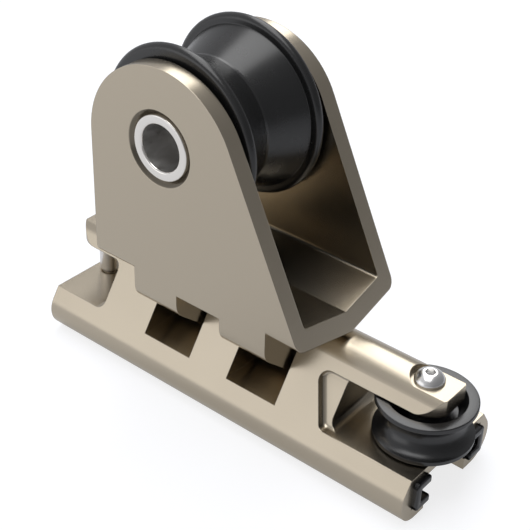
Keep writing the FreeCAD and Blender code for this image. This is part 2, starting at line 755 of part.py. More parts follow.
def make_bracket_holes(body):
    """Axle hole with a chamfered mouth in each cheek, and the hinge bore."""
    axle = new_sketch(body, "axle_holes", "XZ_Plane")
    add_circle(axle, AXLE_PLACE, AXLE_HEIGHT,
               "Sizes.axle_radius + Sizes.press_play")
    pocket(body, "axle_bore", axle, both_ways=True)
    half = size("bracket_width") / 2
    reach = size("axle_radius") + size("press_play")
    spot = FreeCAD.Vector(value(axle, AXLE_PLACE), 0, value(axle, AXLE_HEIGHT))
    names = edges_where(
        body.Shape,
        lambda point: abs(abs(point.y) - half) < TOUCH
        and abs(math.hypot(point.x - spot.x, point.z - spot.z) - reach) < TOUCH,
    )
    round_edges(body, "axle_mouths", names, "Sizes.mouth_chamfer", "PartDesign::Chamfer", "Size")
    hinge = new_sketch(body, "bush_holes", "YZ_Plane", "Sizes.front_slot_centre + Sizes.slot_length")
    add_circle(hinge, None, "Sizes.hinge_height", BUSH_OUTER + " + Sizes.press_play")
    pocket(body, "bush_bore", hinge)


def both_sides(half):
    """Mirror half a section in its middle plane. The half starts at the middle and ends
    at the bore, and an arc belongs to the corner that it leaves."""
    outline = list(half)
    for number in range(len(half) - 1, -1, -1):
        arc = tuple(half[number - 1][2:]) if number else ()
        outline.append((half[number][0], "-" + half[number][1]) + arc)
    return outline


def make_main_sheave():
    """The big sheave: beaded lips, straight cone flanks and a narrow throat."""
    half = "(%s - Sizes.sheave_gap)" % HALF_GAP
    lip = "(%s - Sizes.bead_width)" % half
    return turned("main_sheave", both_sides([
        ("Sizes.throat_radius", "(Sizes.throat_width / 2)"),
        ("Sizes.cone_radius", lip),
        ("Sizes.sheave_radius - Sizes.bead_round", lip, "Sizes.bead_round", 1),
        ("Sizes.sheave_radius", "(%s + Sizes.bead_round)" % lip),
        ("Sizes.sheave_radius", "(%s - Sizes.bead_round)" % half, "Sizes.bead_round", 1),
        ("Sizes.sheave_radius - Sizes.bead_round", half),
        ("Sizes.hub_radius", half),
        ("Sizes.hub_radius", HALF_HUB),
        (MAIN_BUSH_OUTER + " + Sizes.press_play", HALF_HUB),
    ]), "Y", AXLE_PLACE, None, AXLE_HEIGHT)


def make_axle_group():
    """Everything that the main sheave turns on."""
    ring("main_bush", MAIN_BUSH_INNER, MAIN_BUSH_OUTER, "2 * " + HALF_HUB,
         "Y", AXLE_PLACE, None, AXLE_HEIGHT)
    end = "(%s - Sizes.axle_recess)" % HALF_CHEEKS
    turned("axle_tube", both_sides([
        ("Sizes.axle_radius", end),
        ("Sizes.axle_bore + Sizes.axle_edge", end),
        ("Sizes.axle_bore", "(%s - Sizes.axle_edge)" % end),
    ]), "Y", AXLE_PLACE, None, AXLE_HEIGHT)
    place = "%s - Sizes.side_play - Sizes.side_washer_thickness / 2" % HALF_GAP
    for label, along in (("side_washer_near", "-(%s)" % place), ("side_washer_far", place)):
        ring(label, MAIN_BUSH_INNER, "Sizes.side_washer_radius", "Sizes.side_washer_thickness",
             "Y", AXLE_PLACE, along, AXLE_HEIGHT)


def make_hinge_group():
    """The hinge pin, its plug, the knuckles' bushes and the washers beside them."""
    long = "(%s - Sizes.set_screw_length + %s)" % (NOTCH_WALL, HINGE_END)
    body = new_body("hinge_pin")
    section = new_sketch(body, "hinge_pin_section", "YZ_Plane",
                         "Sizes.set_screw_length - " + NOTCH_WALL)
    add_circle(section, None, "Sizes.hinge_height", "Sizes.hinge_radius")
    pad(body, "hinge_pin_bar", section, long)

    body = new_body("hinge_set_screw")
    section = new_sketch(body, "plug_section", "YZ_Plane", "-" + NOTCH_WALL)
    add_circle(section, None, "Sizes.hinge_height", "Sizes.set_screw_radius")
    pad(body, "plug", section, "Sizes.set_screw_length")
    socket = new_sketch(body, "plug_socket_outline", "YZ_Plane", "-" + NOTCH_WALL)
    hexagon(socket, "0", "Sizes.hinge_height", "Sizes.set_screw_socket")
    pocket(body, "plug_socket", socket, "Sizes.set_screw_length / 2", backwards=True)

    for label, knuckle in (("hinge_bush_rear", REAR_KNUCKLE), ("hinge_bush_front", FRONT_KNUCKLE)):
        ring(label, HINGE_BORE, BUSH_OUTER, "Sizes.knuckle_length",
             "X", knuckle, None, "Sizes.hinge_height")
    free = "(Sizes.slot_length - Sizes.knuckle_length - Sizes.knuckle_gap)"
    washers = (("hinge_washer_rear", "Sizes.rear_slot_centre"),
               ("hinge_washer_front", "Sizes.front_slot_centre"))
    for label, slot in washers:
        place = "%s + Sizes.slot_length / 2 - %s + Sizes.side_play" % (slot, free)
        ring(label, HINGE_BORE, "Sizes.washer_radius", "Sizes.washer_thickness",
             "X", "%s + Sizes.washer_thickness / 2" % place, None, "Sizes.hinge_height")


def make_becket_pin():
    """A round pin between the notch floor and the lug, on a thinner neck in the floor."""
    foot = "(%s - Sizes.becket_depth)" % FLOOR
    shoulder = "(%s + Sizes.becket_neck_height)" % FLOOR
    head = "(%s - Sizes.becket_recess)" % FACE
    turned("becket_pin", [
        (None, foot),
        ("Sizes.becket_neck_radius", foot),
        ("Sizes.becket_neck_radius", shoulder),
        ("Sizes.becket_radius", shoulder),
        ("Sizes.becket_radius", "%s - Sizes.becket_edge" % head),
        ("Sizes.becket_radius - Sizes.becket_edge", head),
        (None, head),
    ], None, "-" + BECKET_PLACE)


def make_tow_sheave():
    """The small sheave: a round groove between two flat lips, recessed round its hub."""
    middle = "((%s + %s) / 2)" % (TOW_FOOT, TOW_TOP)
    half = "((%s - %s) / 2)" % (TOW_TOP, TOW_FOOT)
    groove = "(%s - Sizes.tow_flange)" % half
    depth = "(%s * Sizes.groove_share)" % groove
    # The groove's arc runs through both lips' inner edges and the throat.
    round_groove = "((%s ^ 2 + %s ^ 2) / (2 * %s))" % (groove, depth, depth)
    recess = "(Sizes.tow_web / 2)"
    bore = TOW_BUSH_OUTER + " + Sizes.press_play"
    body = new_body("tow_sheave")
    section = new_sketch(body, "tow_section", "XZ_Plane")
    add_profile(section, [
        ("Sizes.tow_radius", "-" + groove, round_groove, -1),
        ("Sizes.tow_radius", groove),
        ("Sizes.tow_radius", "%s - Sizes.tow_edge" % half),
        ("Sizes.tow_radius - Sizes.tow_edge", half),
        ("Sizes.tow_recess_radius", half),
        ("Sizes.tow_recess_floor", recess),
        ("Sizes.tow_hub_radius", recess),
        ("Sizes.tow_hub_radius", half),
        (bore, half),
        (bore, "-" + half),
        ("Sizes.tow_hub_radius", "-" + half),
        ("Sizes.tow_hub_radius", "-" + recess),
        ("Sizes.tow_recess_floor", "-" + recess),
        ("Sizes.tow_recess_radius", "-" + half),
        ("Sizes.tow_radius - Sizes.tow_edge", "-" + half),
        ("Sizes.tow_radius", "Sizes.tow_edge - %s" % half),
    ])
    revolve(body, "tow_turning", section)
    stand(body, TOW_PLACE, None, middle)
    ring("tow_bush", TOW_BUSH_INNER, TOW_BUSH_OUTER, "2 * " + half,
         None, TOW_PLACE, None, middle)


def make_tow_axle():
    """Screw, sleeve and washers of the towing sheave."""
    gap = "(%s - %s)" % (CEILING, FLOOR)
    ring("tow_sleeve", "Sizes.screw_radius + Sizes.screw_play", "Sizes.tow_sleeve_radius", gap,
         None, TOW_PLACE, None, "(%s + %s) / 2" % (FLOOR, CEILING))
    levels = (
        ("tow_washer_lower", FLOOR + " + Sizes.tow_washer_thickness / 2"),
        ("tow_washer_upper", CEILING + " - Sizes.tow_washer_thickness / 2"),
    )
    for label, level in levels:
        ring(label, TOW_BUSH_INNER, "Sizes.tow_washer_radius", "Sizes.tow_washer_thickness",
             None, TOW_PLACE, None, level)
    seat = FACE
    crown = "(%s + Sizes.screw_head_height)" % seat
    body = new_body("tow_screw")
    section = new_sketch(body, "screw_section", "XZ_Plane")
    # The head's dome leaves its rim and meets the flat crown around the socket.
    dome = "(Sizes.screw_head_height * 2)"
    add_profile(section, [
        (None, "Sizes.screw_tip_height"),
        ("Sizes.screw_radius", "Sizes.screw_tip_height"),
        ("Sizes.screw_radius", seat),
        ("Sizes.screw_head_radius", seat),
        ("Sizes.screw_head_radius", seat + " + Sizes.tow_edge", dome, 1),
        ("Sizes.screw_crown_radius", crown),
        (None, crown),
    ])
    revolve(body, "screw_turning", section)
    socket = new_sketch(body, "screw_socket_outline", "XY_Plane", crown)
    hexagon(socket, "0", "0", "Sizes.screw_socket")
    pocket(body, "screw_socket_cut", socket, "Sizes.screw_socket_depth")
    stand(body, TOW_PLACE)


def check_and_write(folder):
    """Check that every piece is one sound solid and write it under its label."""
    doc.recompute()
    os.makedirs(folder, exist_ok=True)
    for thing in doc.Objects:
        if "Invalid" in thing.State or "Error" in thing.State:
            raise RuntimeError("%s is in state %s" % (thing.Label, thing.State))
        if thing.isDerivedFrom("Sketcher::SketchObject") and not thing.FullyConstrained:
            raise RuntimeError("%s is not fully constrained" % thing.Label)
    for body in doc.Objects:
        if not body.isDerivedFrom("PartDesign::Body"):
            continue
        shape = body.Shape
        if shape.isNull() or not shape.isValid() or len(shape.Solids) != 1:
            raise RuntimeError("%s is not one sound solid" % body.Label)
        box = shape.BoundBox
        print("%-20s %8.1f mm3  x %7.2f %7.2f  y %6.2f %6.2f  z %6.2f %6.2f" % (
            body.Label, shape.Volume, box.XMin, box.XMax, box.YMin, box.YMax, box.ZMin, box.ZMax
        ))
        shape.exportStep(os.path.join(folder, body.Label + ".step"))


make_slider_body()
make_wear_strip("wear_strip_near", -1)
make_wear_strip("wear_strip_far", 1)
make_becket_pin()
make_hinge_group()
make_bracket()
make_main_sheave()
make_axle_group()
make_tow_sheave()
make_tow_axle()
check_and_write("parts")
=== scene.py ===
"""Towable genoa car: camera, light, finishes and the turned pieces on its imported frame."""

import logging
import math
from collections.abc import Callable
from dataclasses import dataclass
from enum import Enum

import bpy
from mathutils import Matrix, Quaternion, Vector


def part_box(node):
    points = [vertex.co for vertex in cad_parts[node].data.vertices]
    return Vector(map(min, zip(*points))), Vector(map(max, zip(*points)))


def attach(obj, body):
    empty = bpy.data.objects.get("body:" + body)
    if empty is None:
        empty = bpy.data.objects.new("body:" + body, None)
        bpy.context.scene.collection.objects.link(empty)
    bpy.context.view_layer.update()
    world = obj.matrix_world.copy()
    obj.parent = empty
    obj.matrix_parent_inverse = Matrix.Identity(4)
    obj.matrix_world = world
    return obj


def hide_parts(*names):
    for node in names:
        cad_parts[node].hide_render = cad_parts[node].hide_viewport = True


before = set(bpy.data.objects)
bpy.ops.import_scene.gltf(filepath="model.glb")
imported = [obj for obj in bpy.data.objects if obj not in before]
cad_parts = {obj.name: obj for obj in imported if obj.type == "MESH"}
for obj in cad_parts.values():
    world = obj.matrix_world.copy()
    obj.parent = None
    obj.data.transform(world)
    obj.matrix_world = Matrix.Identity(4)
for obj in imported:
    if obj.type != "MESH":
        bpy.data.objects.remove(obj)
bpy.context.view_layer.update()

LOG = logging.getLogger("genoa_car")
Triple = tuple[float, float, float]
MM = 0.001
# Points closer than this are one point.
WELD = 0.002 * MM
# Rings of the wave texture repeat about every 0.31 of its unit.
BAND = 0.31
WHITE = (1.0, 1.0, 1.0, 1.0)
# The sRGB curve starts straight, up to its knee, and goes on as a power.
SRGB_KNEE = 0.04045
SRGB_SLOPE = 12.92
SRGB_LIFT = 0.055
SRGB_POWER = 2.4


class Axis(Enum):
    """Row axis that a turned piece turns about."""

    ALONG = "X"
    ACROSS = "Y"
    UP = "Z"

    def vector(self) -> Vector:
        """Return the axis as a direction."""
        return Vector([float(letter == self.value) for letter in "XYZ"])

    def outward(self) -> Vector:
        """Return a direction square to the axis, in which a half section is drawn."""
        return Vector((0, 0, 1)) if self is not Axis.UP else Vector((1, 0, 0))


# Small tools that every class uses


def linear(hex_colour: str) -> tuple[float, float, float, float]:
    """Turn an sRGB hex colour into a linear one.

    Args:
        hex_colour: six hex digits, red first.

    Returns:
        Linear red, green, blue and an alpha of 1.
    """
    channels = []
    for start in (0, 2, 4):
        channel = int(hex_colour[start:start + 2], 16) / 255
        if channel <= SRGB_KNEE:
            channels.append(channel / SRGB_SLOPE)
        else:
            channels.append(((channel + SRGB_LIFT) / (1 + SRGB_LIFT)) ** SRGB_POWER)
    return (channels[0], channels[1], channels[2], 1.0)


def add_node(
    tree: bpy.types.NodeTree,
    kind: str,
    settings: dict[str | int, object] | None = None,
    links: dict[str | int, bpy.types.NodeSocket] | None = None,
) -> bpy.types.Node:
    """Add one shader node, set it and link it.

    Args:
        tree: node tree that takes the node.
        kind: the node's type name.
        settings: properties of the node, or input sockets by name or number, with values.
        links: input sockets by name or number, with the socket that feeds each.

    Returns:
        The new node.
    """
    node = tree.nodes.new(kind)
    for name, setting in (settings or {}).items():
        if isinstance(name, int) or name in node.inputs:
            node.inputs[name].default_value = setting
        else:
            setattr(node, name, setting)
    for name, source in (links or {}).items():
        tree.links.new(source, node.inputs[name])
    return node


def new_material(name: str) -> tuple[bpy.types.Material, bpy.types.NodeTree]:
    """Return an empty node material and its tree."""
    material = bpy.data.materials.new(name)
    material.use_nodes = True
    material.node_tree.nodes.clear()
    return material, material.node_tree


def dress(node: str, material: bpy.types.Material) -> None:
    """Give a CAD node one finish all over."""
    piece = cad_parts[node]
    piece.data.materials.clear()
    piece.data.materials.append(material)


def middle_of(node: str) -> Vector:
    """Return the middle of a CAD node's box."""
    low, high = (Vector(corner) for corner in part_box(node))
    return (low + high) / 2


def size_of(node: str) -> Vector:
    """Return the lengths of a CAD node's box."""
    low, high = (Vector(corner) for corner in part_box(node))
    return high - low


# Modelling with edit mode operators


@dataclass(frozen=True)
class Corner:
    """A corner of a section: its two places and the radius that rounds it."""

    across: float
    along: float
    rounding: float = 0.0


def soften(corners: list[Corner], closed: bool, steps: int = 6) -> list[tuple[float, float]]:
    """Replace every rounded corner of a section by its arc.

    Args:
        corners: the section's corners in order.
        closed: whether the last corner joins the first.
        steps: straight stretches in one arc.

    Returns:
        The places of the softened section, in the same order.
    """
    points = []
    count = len(corners)
    for number, corner in enumerate(corners):
        here = Vector((corner.across, corner.along))
        if not corner.rounding or (not closed and number in (0, count - 1)):
            points.append((here.x, here.y))
            continue
        before = corners[number - 1]
        after = corners[(number + 1) % count]
        back = (Vector((before.across, before.along)) - here).normalized()
        ahead = (Vector((after.across, after.along)) - here).normalized()
        half = back.angle(ahead) / 2
        reach = corner.rounding / math.tan(half)
        centre = here + (back + ahead).normalized() * corner.rounding / math.sin(half)
        start = here + back * reach - centre
        turn = start.angle_signed(here + ahead * reach - centre)
        for step in range(steps + 1):
            angle = -turn * step / steps
            points.append((
                centre.x + start.x * math.cos(angle) - start.y * math.sin(angle),
                centre.y + start.x * math.sin(angle) + start.y * math.cos(angle),
            ))
    return points


def draw_wire(name: str, points: list[Vector], closed: bool) -> bpy.types.Object:
    """Draw a wire from corner to corner and stay in edit mode.

    Args:
        name: the new piece's name.
        points: the wire's places in order.
        closed: whether the wire comes back to its start.

    Returns:
        The new piece, still a wire.
    """
    bpy.ops.object.select_all(action="DESELECT")
    bpy.ops.mesh.primitive_plane_add(size=MM, location=(0, 0, 0))
    piece = bpy.context.active_object
    piece.name = name
    piece.data.name = name
    bpy.ops.object.mode_set(mode="EDIT")
    bpy.ops.mesh.select_mode(type="VERT")
    bpy.ops.mesh.select_all(action="SELECT")
    bpy.ops.mesh.merge(type="CENTER")
    bpy.ops.transform.translate(value=points[0])
    route = points + points[:1] if closed else points
    for here, there in zip(route, route[1:]):
        bpy.ops.mesh.extrude_vertices_move(TRANSFORM_OT_translate={"value": there - here})
    bpy.ops.mesh.select_all(action="SELECT")
    bpy.ops.mesh.remove_doubles(threshold=WELD)
    return piece


def close_up(piece: bpy.types.Object, smooth_below: float) -> None:
    """Merge doubles, turn the faces outwards and leave edit mode.

    Args:
        piece: the piece in edit mode.
        smooth_below: edges that turn by less than this many degrees are shaded smooth.
    """
    bpy.ops.mesh.select_all(action="SELECT")
    bpy.ops.mesh.remove_doubles(threshold=WELD)
    bpy.ops.mesh.dissolve_degenerate(threshold=WELD)
    bpy.ops.mesh.normals_make_consistent(inside=False)
    bpy.ops.object.mode_set(mode="OBJECT")
    bpy.ops.object.shade_smooth_by_angle(angle=math.radians(smooth_below))
    LOG.info("%s: %d faces", piece.name, len(piece.data.polygons))


def turn_piece(
    name: str, corners: list[Corner], axis: Axis, centre: Vector,
    closed: bool = True, steps: int = 96,
) -> bpy.types.Object:
    """Spin a half section about its axis and stay in edit mode.

    Args:
        name: the new piece's name.
        corners: the half section, radius across and length along from the centre.
        axis: the axis that it turns about.
        centre: a point of that axis, from which lengths are measured.
        closed: whether the half section closes off the axis.
        steps: flats round the full turn.

    Returns:
        The new piece, turned but not yet closed up.
    """
    outward = axis.outward()
    upright = axis.vector()
    points = [
        centre + outward * across + upright * along
        for across, along in soften(corners, closed)
    ]
    piece = draw_wire(name, points, closed)
    bpy.ops.mesh.select_all(action="SELECT")
    bpy.ops.mesh.spin(steps=steps, angle=2 * math.pi, center=centre, axis=upright)
    bpy.ops.mesh.select_all(action="SELECT")
    bpy.ops.mesh.remove_doubles(threshold=WELD)
    return piece


def stand_in(
    piece: bpy.types.Object, body: str, node: str, finish: bpy.types.Material,
) -> None:
    """Dress a new piece and let it stand for its CAD node.

    Args:
        piece: the finished piece.
        body: the body that it moves with.
        node: the CAD node that it stands for.
        finish: its material.
    """
    piece.data.materials.append(finish)
    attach(piece, body)
    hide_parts(node)


# Finishes


@dataclass(frozen=True)
class AnodisedAluminium:
    """Machined aluminium, bead blasted and anodised champagne: a warm satin metal."""

    name: str
    # Painted shade in hollows: how far off a wall still shuts a place in, the shade
    # painted on a place that is shut in, and the open share from which it is gone.
    hollow_reach: float
    hollow_shade: float
    hollow_full: float
    # Painted shade on the chamfer round an axle that lies across the car.
    mouth: Triple = (0.0, 0.0, 0.0)
    mouth_radius: float = 0.0
    mouth_shade: float = 0.35
    tint: str = "c3b8a5"
    # A paler tint painted on the edges as a highlight, and its largest share.
    edge_highlight_tint: str = "d2c9b8"
    edge_highlight_share: float = 0.5
    roughness: float = 0.25
    roughness_spread: float = 0.02
    edge_radius: float = 0.3 * MM
    # Bead blasting leaves dimples of about 0.1 mm, drawn coarser here so that they show.
    grain: float = 0.3 * MM
    grain_depth: float = 0.02 * MM
    grain_strength: float = 0.012
    cloud: float = 18 * MM

    def tone(self, tree: bpy.types.NodeTree, soft: bpy.types.Node) -> bpy.types.NodeSocket:
        """Mix the metal's colour, painted paler on its edges as a highlight.

        The bevelled normal leaves the face's own only near an edge, where the painted highlight
        goes.

        Args:
            tree: the material's node tree.
            soft: the node that gives the bevelled normal.

        Returns:
            The colour.
        """
        flat = add_node(tree, "ShaderNodeNewGeometry")
        facing = add_node(tree, "ShaderNodeVectorMath", {"operation": "DOT_PRODUCT"}, {
            0: soft.outputs["Normal"], 1: flat.outputs["Normal"],
        })
        # Painted highlight: the colour turns paler where the bevelled normal leaves the face's
        # own.
        edge_highlight = add_node(tree, "ShaderNodeMapRange", {
            "From Min": 1.0, "From Max": 0.8, "To Min": 0.0, "To Max": self.edge_highlight_share,
        }, {"Value": facing.outputs["Value"]})
        return add_node(tree, "ShaderNodeMixRGB", {
            "Color1": linear(self.tint), "Color2": linear(self.edge_highlight_tint),
        }, {"Fac": edge_highlight.outputs["Result"]}).outputs["Color"]

    def painted_shade(
        self, tree: bpy.types.NodeTree, where: bpy.types.NodeSocket,
    ) -> bpy.types.NodeSocket:
        """Work out the painted shade in hollows and round the axle's mouth.

        Args:
            tree: the material's node tree.
            where: the object coordinates.

        Returns:
            The share of the colour that the film lets through.
        """
        # Painted shade: the colour darkens where ambient occlusion finds the place shut in.
        open_share = add_node(tree, "ShaderNodeAmbientOcclusion", {
            "samples": 8, "only_local": True, "Distance": self.hollow_reach,
        })
        in_hollows = add_node(tree, "ShaderNodeMapRange", {
            "From Min": 0.1, "From Max": self.hollow_full, "To Min": self.hollow_shade,
        }, {"Value": open_share.outputs["AO"]})
        # Painted shade round the axle's mouth: the colour darkens inside the chamfer's radius.
        from_axle = add_node(tree, "ShaderNodeVectorMath", {
            "operation": "MULTIPLY_ADD", 1: (1.0, 0.0, 1.0),
            2: (-self.mouth[0], 0.0, -self.mouth[2]),
        }, {0: where})
        away = add_node(tree, "ShaderNodeVectorMath", {"operation": "LENGTH"}, {
            0: from_axle.outputs["Vector"],
        })
        round_mouth = add_node(tree, "ShaderNodeMapRange", {
            "From Min": self.mouth_radius - self.edge_radius,
            "From Max": self.mouth_radius, "To Min": self.mouth_shade,
        }, {"Value": away.outputs["Value"]})
        return add_node(tree, "ShaderNodeMath", {"operation": "MULTIPLY"}, {
            0: in_hollows.outputs["Result"], 1: round_mouth.outputs["Result"],
        }).outputs["Value"]

    def make(self) -> bpy.types.Material:
        """Build the material.

        Returns:
            A metal with softly broken edges that carry a painted highlight, a blasted grain
            and painted shade in its hollows and round an axle's mouth.
        """
        material, tree = new_material(self.name)
        where = add_node(tree, "ShaderNodeTexCoord").outputs["Object"]
        grain = add_node(tree, "ShaderNodeTexNoise", {
            "Scale": 1 / self.grain, "Detail": 3.0, "Roughness": 0.6,
        }, {"Vector": where})
        cloud = add_node(tree, "ShaderNodeTexNoise", {
            "Scale": 1 / self.cloud, "Detail": 2.0,
        }, {"Vector": where})
        soft = add_node(tree, "ShaderNodeBevel", {"samples": 8, "Radius": self.edge_radius})
        # The colour carries the painted shade of the hollows and of the axle's mouth.
        shaded_tone = add_node(tree, "ShaderNodeVectorMath", {"operation": "SCALE"}, {
            0: self.tone(tree, soft), "Scale": self.painted_shade(tree, where),
        })
        bump = add_node(tree, "ShaderNodeBump", {
            "Strength": self.grain_strength, "Distance": self.grain_depth,
        }, {"Height": grain.outputs["Fac"], "Normal": soft.outputs["Normal"]})
        rough = add_node(tree, "ShaderNodeMapRange", {
            "From Min": 0.25, "From Max": 0.75,
            "To Min": self.roughness - self.roughness_spread,
            "To Max": self.roughness + self.roughness_spread,
        }, {"Value": cloud.outputs["Fac"]})
        shader = add_node(tree, "ShaderNodeBsdfPrincipled", {"Metallic": 1.0}, {
            "Base Color": shaded_tone.outputs["Vector"], "Roughness": rough.outputs["Result"],
            "Normal": bump.outputs["Normal"],
        })
        add_node(tree, "ShaderNodeOutputMaterial", links={"Surface": shader.outputs["BSDF"]})
        return material


@dataclass(frozen=True)
class BlackSkin:
    """Hard anodising or dense acetal: a black skin with one soft sheen."""

    name: str
    tint: str
    dusty_tint: str
    roughness: float
    sheen_level: float = 0.5
    roughness_spread: float = 0.006
    turned_about: Axis | None = None
    centre: Triple = (0.0, 0.0, 0.0)
    # Turning leaves marks of about 0.1 mm and moulding a finer grain, both drawn coarser.
    mark_pitch: float = 0.5 * MM
    mark_depth: float = 0.02 * MM
    mark_strength: float = 0.01
    grain: float = 0.5 * MM
    cloud: float = 7 * MM
    edge_radius: float = 0.2 * MM

    def make(self) -> bpy.types.Material:
        """Build the material.

        Returns:
            A dark skin with faint dust, and fine tool marks where the piece was turned.
        """
        material, tree = new_material(self.name)
        where = add_node(tree, "ShaderNodeTexCoord").outputs["Object"]
        place = add_node(tree, "ShaderNodeMapping", {
            "vector_type": "POINT", "Location": tuple(-value for value in self.centre),
        }, {"Vector": where})
        cloud = add_node(tree, "ShaderNodeTexNoise", {
            "Scale": 1 / self.cloud, "Detail": 3.0,
        }, {"Vector": place.outputs["Vector"]})
        share = add_node(tree, "ShaderNodeMapRange", {
            "From Min": 0.4, "From Max": 0.8, "To Min": 0.0, "To Max": 0.4,
        }, {"Value": cloud.outputs["Fac"]})
        tone = add_node(tree, "ShaderNodeMixRGB", {
            "Color1": linear(self.tint), "Color2": linear(self.dusty_tint),
        }, {"Fac": share.outputs["Result"]})
        rough = add_node(tree, "ShaderNodeMapRange", {
            "From Min": 0.3, "From Max": 0.7,
            "To Min": self.roughness - self.roughness_spread,
            "To Max": self.roughness + self.roughness_spread,
        }, {"Value": cloud.outputs["Fac"]})
        soft = add_node(tree, "ShaderNodeBevel", {"samples": 4, "Radius": self.edge_radius})
        if self.turned_about:
            marks = add_node(tree, "ShaderNodeTexWave", {
                "wave_type": "RINGS", "rings_direction": self.turned_about.value,
                "Scale": BAND / self.mark_pitch, "Distortion": 0.4,
            }, {"Vector": place.outputs["Vector"]})
        else:
            marks = add_node(tree, "ShaderNodeTexNoise", {
                "Scale": 1 / self.grain, "Detail": 2.0,
            }, {"Vector": place.outputs["Vector"]})
        bump = add_node(tree, "ShaderNodeBump", {
            "Strength": self.mark_strength, "Distance": self.mark_depth,
        }, {"Height": marks.outputs["Fac"], "Normal": soft.outputs["Normal"]})
        shader = add_node(tree, "ShaderNodeBsdfPrincipled", {
            "Specular IOR Level": self.sheen_level,
        }, {
            "Base Color": tone.outputs["Color"], "Roughness": rough.outputs["Result"],
            "Normal": bump.outputs["Normal"],
        })
        add_node(tree, "ShaderNodeOutputMaterial", links={"Surface": shader.outputs["BSDF"]})
        return material


@dataclass(frozen=True)
class StainlessSteel:
    """Stainless steel from the lathe or the grinder: a bright metal with fine tool marks."""

    name: str
    tint: str
    roughness: float
    axis: Axis
    centre: Triple
    # Real marks are about 0.05 mm apart, drawn coarser here so that they show.
    mark_pitch: float = 0.4 * MM
    mark_depth: float = 0.02 * MM
    mark_strength: float = 0.04
    mark_shade: float = 0.015
    roughness_spread: float = 0.04
    streaks: bool = False
    streak_pitch: float = 3.2 * MM
    streak_stretch: float = 12.0
    edge_radius: float = 0.12 * MM

    def make(self) -> bpy.types.Material:
        """Build the material.

        Returns:
            A bright metal whose rings or streaks also vary its roughness a little.
        """
        material, tree = new_material(self.name)
        where = add_node(tree, "ShaderNodeTexCoord").outputs["Object"]
        place = add_node(tree, "ShaderNodeMapping", {
            "vector_type": "POINT", "Location": tuple(-value for value in self.centre),
        }, {"Vector": where})
        if self.streaks:
            # Streaks run round the axis, so the noise is drawn out square to it.
            drawn = add_node(tree, "ShaderNodeVectorMath", {
                "operation": "MULTIPLY",
                1: tuple(self.streak_stretch * part + 1.0 for part in self.axis.vector()),
            }, {0: place.outputs["Vector"]})
            marks = add_node(tree, "ShaderNodeTexNoise", {
                "Scale": 1 / self.streak_pitch, "Detail": 4.0,
            }, {"Vector": drawn.outputs["Vector"]})
        else:
            marks = add_node(tree, "ShaderNodeTexWave", {
                "wave_type": "RINGS", "rings_direction": self.axis.value,
                "Scale": BAND / self.mark_pitch, "Distortion": 0.6,
            }, {"Vector": place.outputs["Vector"]})
        rough = add_node(tree, "ShaderNodeMapRange", {
            "From Min": 0.0, "From Max": 1.0,
            "To Min": self.roughness - self.roughness_spread,
            "To Max": self.roughness + self.roughness_spread,
        }, {"Value": marks.outputs["Fac"]})
        shade = add_node(tree, "ShaderNodeMapRange", {
            "From Min": 0.2, "From Max": 0.8,
            "To Min": -self.mark_shade, "To Max": self.mark_shade,
        }, {"Value": marks.outputs["Fac"]})
        tone = add_node(tree, "ShaderNodeBrightContrast", {"Color": linear(self.tint)}, {
            "Bright": shade.outputs["Result"],
        })
        soft = add_node(tree, "ShaderNodeBevel", {"samples": 4, "Radius": self.edge_radius})
        bump = add_node(tree, "ShaderNodeBump", {
            "Strength": self.mark_strength, "Distance": self.mark_depth,
        }, {"Height": marks.outputs["Fac"], "Normal": soft.outputs["Normal"]})
        shader = add_node(tree, "ShaderNodeBsdfPrincipled", {"Metallic": 1.0}, {
            "Base Color": tone.outputs["Color"], "Roughness": rough.outputs["Result"],
            "Normal": bump.outputs["Normal"],
        })
        add_node(tree, "ShaderNodeOutputMaterial", links={"Surface": shader.outputs["BSDF"]})
        return material


# The picture: camera, floor and light


@dataclass(frozen=True)
class Softbox:
    """A flat studio lamp: its place, the way its back faces, its turn, size and brightness."""

    name: str
    place: Triple
    back: Triple
    turn: float
    width: float
    length: float
    radiance: float

    def hang(self) -> None:
        """Hang the lamp."""
        data = bpy.data.lights.new(self.name, "AREA")
        data.shape = "RECTANGLE"
        data.size = self.width
        data.size_y = self.length
        data.energy = self.radiance * math.pi * self.width * self.length
        lamp = bpy.data.objects.new(self.name, data)
        bpy.context.scene.collection.objects.link(lamp)
        lamp.location = self.place
        lamp.rotation_mode = "QUATERNION"
        facing = Vector(self.back).to_track_quat("Z", "Y")
        lamp.rotation_quaternion = facing @ Quaternion((0, 0, 1), math.radians(self.turn))


